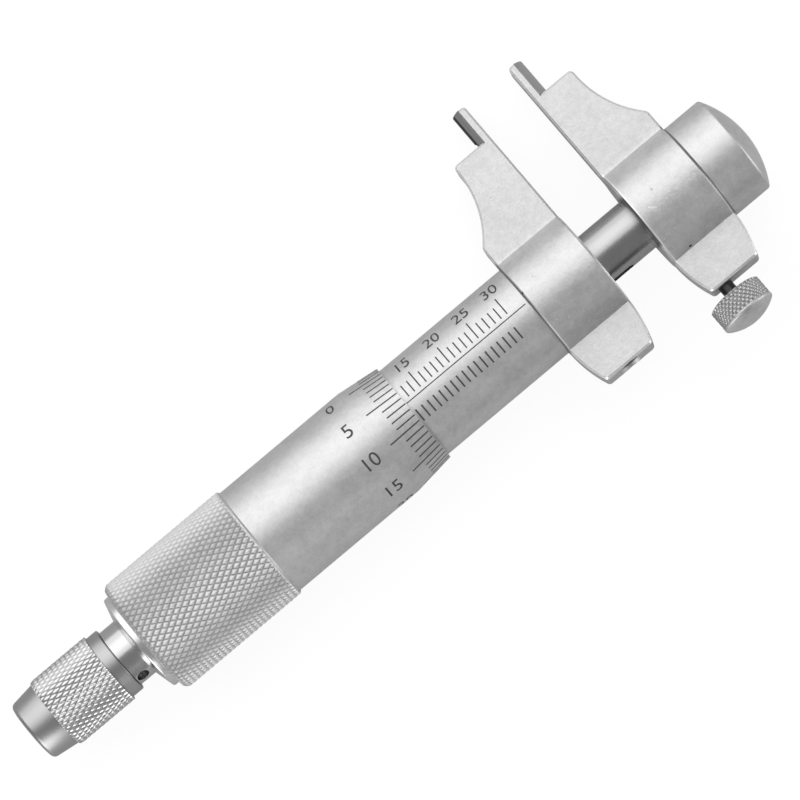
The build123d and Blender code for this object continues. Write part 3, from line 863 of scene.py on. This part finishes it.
def rolled(piece, radius_at, nominal):
    """Rolls flat artwork onto a surface of revolution whose radius is a function of x."""
    for point in piece.data.vertices:
        angle = point.co.y / (nominal * MM)
        radius = radius_at(point.co.x / MM) * MM + point.co.z
        point.co = (point.co.x, radius * math.sin(angle), radius * math.cos(angle))
    return piece


print("artwork helpers ready")

# %% [markdown]
# ## The scale on the sleeve
#
# On the spindle's axis the line for a number of millimetres stands at that number less
# 43.75. Every fifth line is longer and has its number. The numbers that the thimble covers
# in this pose are there too, because the thimble moves.

# %% The main scale
ZERO = -43.75
DATUM_ENDS = (ZERO + 4.5, -11.05)
DATUM_HALF_WIDTH = 0.075
LINE_START = 0.55
LINE_END = 2.5
FIFTH_LINE_END = 3.47
LINE_WIDTH = 0.19
HALF_LINE = (-1.4, -3.3)
HALF_LINE_WIDTH = 0.23
NUMBER_MIDDLE = 5.4
NUMERAL_HEIGHT = 2.0
NUMERAL_WIDTHS = {5: 1.2, 10: 2.0, 15: 1.9}
WIDE_NUMERAL = 2.4

scale = [line(0.5 * (DATUM_ENDS[0] + DATUM_ENDS[1]), -DATUM_HALF_WIDTH, DATUM_HALF_WIDTH,
              DATUM_ENDS[1] - DATUM_ENDS[0])]
for millimetre in range(5, 31):
    end = FIFTH_LINE_END if millimetre % 5 == 0 else LINE_END
    scale.append(line(ZERO + millimetre, LINE_START, end, LINE_WIDTH))
for half in range(5, 30):
    scale.append(line(ZERO + half + 0.5, *HALF_LINE, HALF_LINE_WIDTH))
for number in range(5, 31, 5):
    width = NUMERAL_WIDTHS.get(number, WIDE_NUMERAL)
    scale.append(numeral(str(number), ZERO + number, NUMBER_MIDDLE, NUMERAL_HEIGHT, width))
sleeve_scale = rolled(joined(*scale), lambda x: SLEEVE_RADIUS, SLEEVE_RADIUS)
sleeve_scale.name = "sleeve_scale"
finished(made_of(sleeve_scale, black_filling), "frame_body", "satin_chrome")

# %% [markdown]
# ## The scale on the thimble
#
# The thimble's marks stand on its bevel, and its numbers behind it on the barrel. In the
# photograph the seventh mark is at the datum line. The numbers grow away from the jaws'
# side, and each is turned into place about the spindle by the distance round the barrel.

# %% The thimble's scale
MARKS = 50
MARK_STEP = math.tau / MARKS
AT_DATUM = 7
MARK_LENGTH = 3.2
FIFTH_MARK_LENGTH = 5.1
MARK_SETBACK = 0.08
MARK_HALF_WIDTH = 0.1
NUMBER_SETBACK = 8.35


def thimble_radius(x):
    return min(BARREL_RADIUS, FRONT_RADIUS + (BARREL_RADIUS - FRONT_RADIUS) * (EDGE - x) / BEVEL)


marks = []
for mark in range(MARKS):
    length = FIFTH_MARK_LENGTH if mark % 5 == 0 else MARK_LENGTH
    around = (AT_DATUM - mark) * MARK_STEP * BARREL_RADIUS
    engraved = length - MARK_SETBACK
    marks.append(line(EDGE - MARK_SETBACK - engraved / 2, around - MARK_HALF_WIDTH,
                      around + MARK_HALF_WIDTH, engraved))
    if mark % 5 == 0:
        width = 1.2 if mark < 10 else 2.2 if mark < 20 else 2.6
        marks.append(numeral(str(mark), EDGE - NUMBER_SETBACK, around, NUMERAL_HEIGHT, width))
thimble_scale = rolled(joined(*marks), thimble_radius, BARREL_RADIUS)
thimble_scale.name = "thimble_scale"
finished(made_of(thimble_scale, black_filling), "thimble_body", "satin_chrome")

# %% [markdown]
# ## Finishes for the solids that stay
#
# The jaw blocks, the rod and the inner pieces have their right shapes already, so they only
# change their material. Each finish goes with the slot that the record names for it.

# %% Dress the CAD nodes
DRESS = [
    ("satin_chrome", block_chrome, ["near_jaw_block", "far_jaw_block"]),
    ("polished_steel", polished, ["guide_tube"]),
    ("polished_steel", neck_steel, ["ratchet_stem"]),
    ("carbide", tip_painted_dark, ["near_measuring_tip"]),
    ("carbide", hard_metal, ["far_measuring_tip"]),
    ("steel", inner_steel, ["spindle", "inner_sleeve", "adjusting_nut", "spindle_nut", "thrust_washer",
                            "click_ring"]),
    ("black_steel", dark_steel, ["ratchet_screw", "guide_key_screw"]),
    ("brass", brass, ["lock_pad"]),
]
for slot, material, names in DRESS:
    for name in names:
        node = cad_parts[name]
        node.material_slots[0].material = material
print("dressed:", sum(len(names) for slot, material, names in DRESS), "nodes")

# %% [markdown]
# ## Floor, sky and softbox
#
# The photograph has a pure white ground. Painting the floor white would need so much light
# that the metal burns out, so the floor glows instead. The Light Path node tells the rays
# apart: the camera's see a glow that is nearly white by itself, and those of a reflection
# see a much fainter one. The floor still catches a very faint shadow. One large softbox
# stands on the side that the jaws point to. Real softboxes are brighter in the middle, so a
# second lamp of the same width and less than half the height shines from almost the same
# place. Two cards throw light back on the knob's tapered tail and on the head. A low black
# card, which photographers call a flag, stands on the other side: it gives the polished rod
# its dark line. The rest of the room is a dim grey.

# %% Floor and lights
CAMERA_GLOW = 0.90
REFLECTED_GLOW = 0.13
FLAG_PLACE = (0.04, -0.13, 0.022)
FLAG_SIZE = (0.06, 1, 0.044)
ROOM_GREY = 0.28

ground = Finish("ground")
seen = ground.node("LightPath", {}, {}, output="Is Camera Ray")
glossy = ground.node("LightPath", {}, {}, output="Is Glossy Ray")
glass = ground.node("LightPath", {}, {}, output="Is Transmission Ray")
floor_glow = CAMERA_GLOW * seen + REFLECTED_GLOW * (glossy + glass)
glow = ground.node("Emission", {}, {"Color": grey(1.0), "Strength": floor_glow})
matt = ground.node("BsdfDiffuse", {}, {"Color": ground.color(seen, grey(0.42), grey(0.14))})
both = ground.node("AddShader", {}, {0: glow, 1: matt})
ground.node("OutputMaterial", {}, {"Surface": both})

bpy.ops.object.select_all(action="DESELECT")
bpy.ops.mesh.primitive_plane_add(size=4)
floor = bpy.context.object
floor.name = "floor"
floor.data.materials.append(ground.material)


def lamp(name, size, place, towards, glow):
    """A lit card that faces a point; glow is how bright its face is."""
    data = bpy.data.lights.new(name, "AREA")
    data.shape = "RECTANGLE"
    data.size, data.size_y = size
    data.energy = glow * math.pi * size[0] * size[1]
    card = bpy.data.objects.new(name, data)
    card.location = place
    card.rotation_euler = (Vector(towards) - card.location).to_track_quat("-Z", "Y").to_euler()
    bpy.context.scene.collection.objects.link(card)
    print(name, "W:", round(data.energy, 2))


lamp("softbox", size=(1.2, 1.04), place=(0, 0.439, 0.409), towards=(0, 0, 0), glow=1.14)
lamp("softbox_middle", size=(1.2, 0.42), place=(0, 0.40, 0.45), towards=(0, 0, 0), glow=0.42)
lamp("tail_card", size=(0.26, 0.26), place=(-0.245, -0.27, 0.125), towards=(-0.05, 0, 0.01), glow=2.8)
lamp("head_card", size=(0.34, 0.22), place=(0.34, -0.20, 0.115), towards=(0.05, 0, 0.01), glow=1.9)

black = Finish("black_card")
black_felt = black.color(black.noise(black.spot(), 0.1), grey(0.01), grey(0.02))
black_card = black.shader(Base_Color=black_felt, Roughness=1.0)
bpy.ops.object.select_all(action="DESELECT")
bpy.ops.mesh.primitive_plane_add(size=1, location=FLAG_PLACE, rotation=(math.pi / 2, 0, 0))
flag = bpy.context.object
flag.name = "flag"
bpy.ops.transform.resize(value=FLAG_SIZE)
flag.data.materials.append(black_card)
flag.visible_camera = False
flag.visible_shadow = False

room = bpy.data.worlds.new("room")
room.use_nodes = True
room.node_tree.nodes["Background"].inputs["Color"].default_value = grey(ROOM_GREY)
bpy.context.scene.world = room
bpy.context.scene.view_settings.view_transform = "Standard"
print("lights on, flag at", tuple(flag.location))
